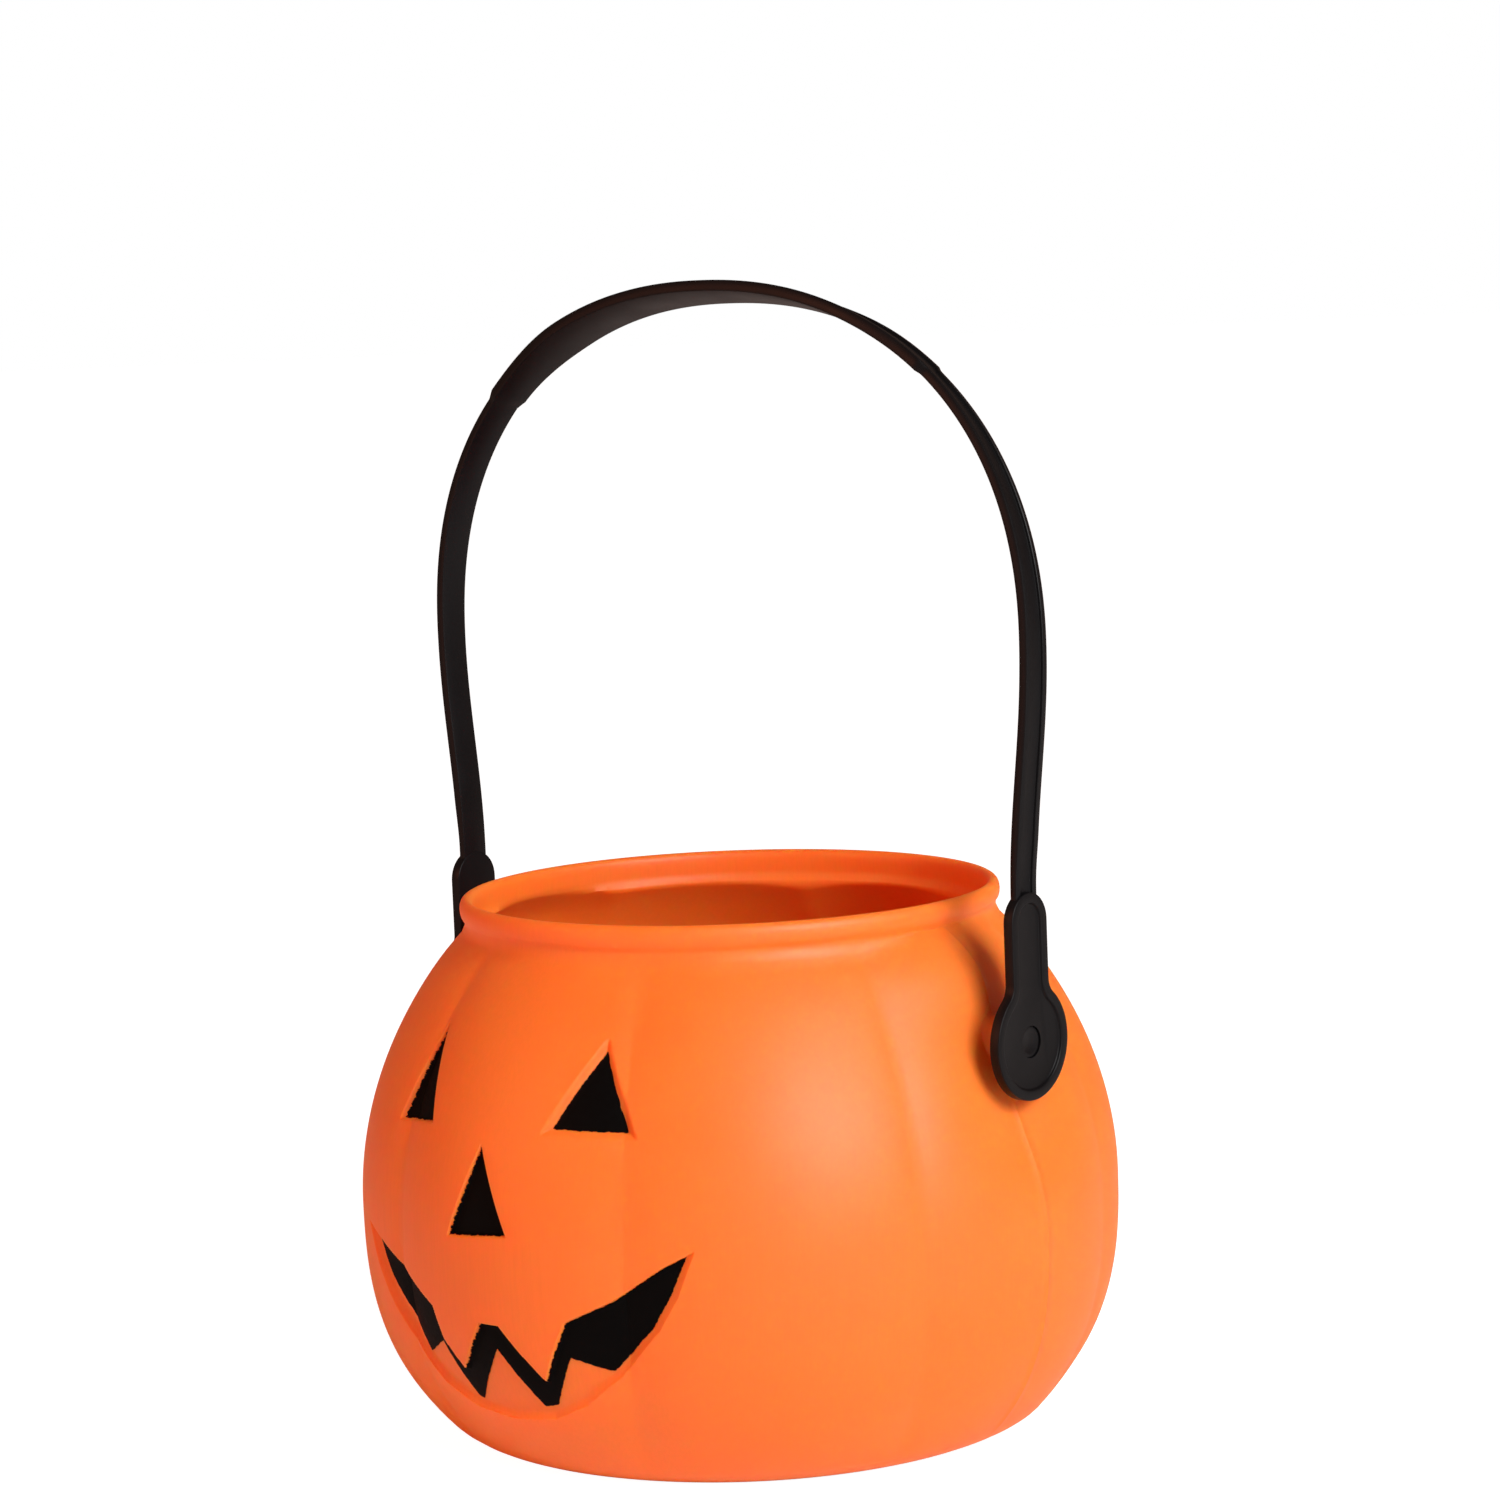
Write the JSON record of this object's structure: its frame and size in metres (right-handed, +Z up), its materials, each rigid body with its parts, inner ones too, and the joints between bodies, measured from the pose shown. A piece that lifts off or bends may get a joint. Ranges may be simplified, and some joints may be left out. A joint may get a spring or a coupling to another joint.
{
  "type": "pumpkin treat pail",
  "caption": "Round lobed plastic bucket shaped like a pumpkin, with a sunk grinning face, a rolled lip and a grooved strap handle that swings over it on snap studs.",
  "frame": {"origin": "centre of the pail's round foot, on the surface that it stands on", "axes": "+Z up through the open mouth, -Y the way the face looks, X along the handle's pivots"},
  "size_m": [0.2064, 0.204, 0.3057],
  "materials": {
    "orange_plastic": "satin blow-moulded polyethylene",
    "black_paint": "thin printed black paint, satin",
    "black_plastic": "satin injection-moulded polypropylene"
  },
  "bodies": {
    "pail": {"pail_body": "orange_plastic", "eye_left": "black_paint", "eye_right": "black_paint", "nose": "black_paint", "mouth": "black_paint"},
    "handle": {"handle_strap": "black_plastic", "stud_left": "black_plastic", "stud_right": "black_plastic"}
  },
  "joints": [
    {"name": "handle_swing", "type": "hinge", "parent": "pail", "child": "handle", "pos_m": [0, 0, 0.1095], "axis": [1, 0, 0], "range_deg": [-110, 110]}
  ]
}
